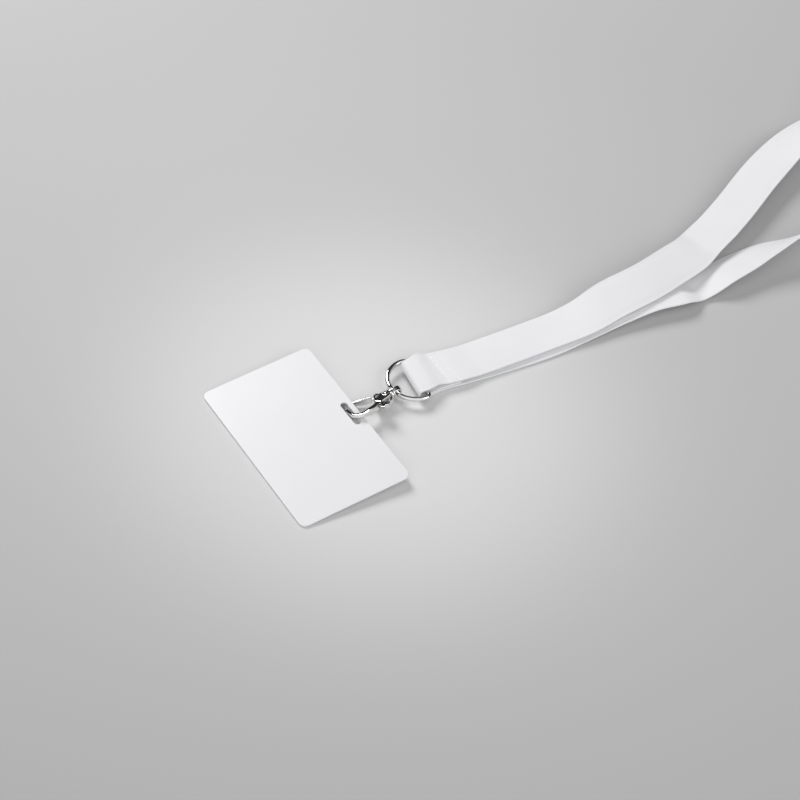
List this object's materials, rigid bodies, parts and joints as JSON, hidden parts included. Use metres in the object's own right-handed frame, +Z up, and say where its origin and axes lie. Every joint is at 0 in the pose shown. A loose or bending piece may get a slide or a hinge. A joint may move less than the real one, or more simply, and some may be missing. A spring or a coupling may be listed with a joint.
{
  "type": "badge lanyard",
  "caption": "Blank plastic badge card hung by its slot on a nickel lever hook with a swivel, a wire D ring and a sewn white neck lanyard.",
  "frame": {"origin": "a point on the flat underside of the webbing, where the lower leg of the neck loop lies on the table", "axes": "+X along the lanyard, away from the card; +Y across it; +Z up from the table"},
  "size_m": [0.5056, 0.1182, 0.02],
  "materials": {
    "white_polyester": "plain woven white polyester webbing",
    "white_thread": "white sewing thread",
    "nickel_wire": "nickel plated steel wire",
    "nickel_plate": "nickel plated zinc casting",
    "pin_steel": "nickel plated steel rivet",
    "spring_steel": "bare spring wire",
    "card_plastic": "blank white card, softly glossy"
  },
  "bodies": {
    "lanyard": {"lanyard_webbing": "white_polyester", "needle_thread": "white_thread", "bobbin_thread": "white_thread"},
    "ring": {"d_ring": "nickel_wire"},
    "swivel": {"swivel_eye": "nickel_plate"},
    "hook": {"hook_body": "nickel_plate", "lever_pin": "pin_steel", "lever_spring": "spring_steel"},
    "lever": {"hook_lever": "nickel_plate"},
    "card": {"badge_card": "card_plastic"}
  },
  "joints": [
    {"name": "ring_swing", "type": "hinge", "parent": "lanyard", "child": "ring", "pos_m": [-0.0625, 0.0039, 0.00385], "axis": [-0.0872, -0.9962, 0], "range_deg": [-50, 50]},
    {"name": "eye_swing", "type": "hinge", "parent": "ring", "child": "swivel", "pos_m": [-0.07597, 0.00116, 0.00385], "axis": [0.2484, -0.9686, 0], "range_deg": [-45, 45]},
    {"name": "hook_swivel", "type": "hinge", "parent": "swivel", "child": "hook", "pos_m": [-0.07844, 0.0011, 0.00449], "axis": [-0.9989, -0.0262, -0.0401], "continuous": true},
    {"name": "lever_press", "type": "hinge", "parent": "hook", "child": "lever", "pos_m": [-0.08494, 0.00203, 0.00376], "axis": [-0.0472, 0.3896, 0.9198], "range_deg": [0, 22], "stiffness_Nm_per_rad": 0.004, "springref_deg": -28.65, "deforming": ["lever_spring"]},
    {"name": "card_swing", "type": "hinge", "parent": "hook", "child": "card", "pos_m": [-0.10032, 0.00053, 0.00361], "axis": [0, 1, 0], "range_deg": [-4, 12]}
  ]
}
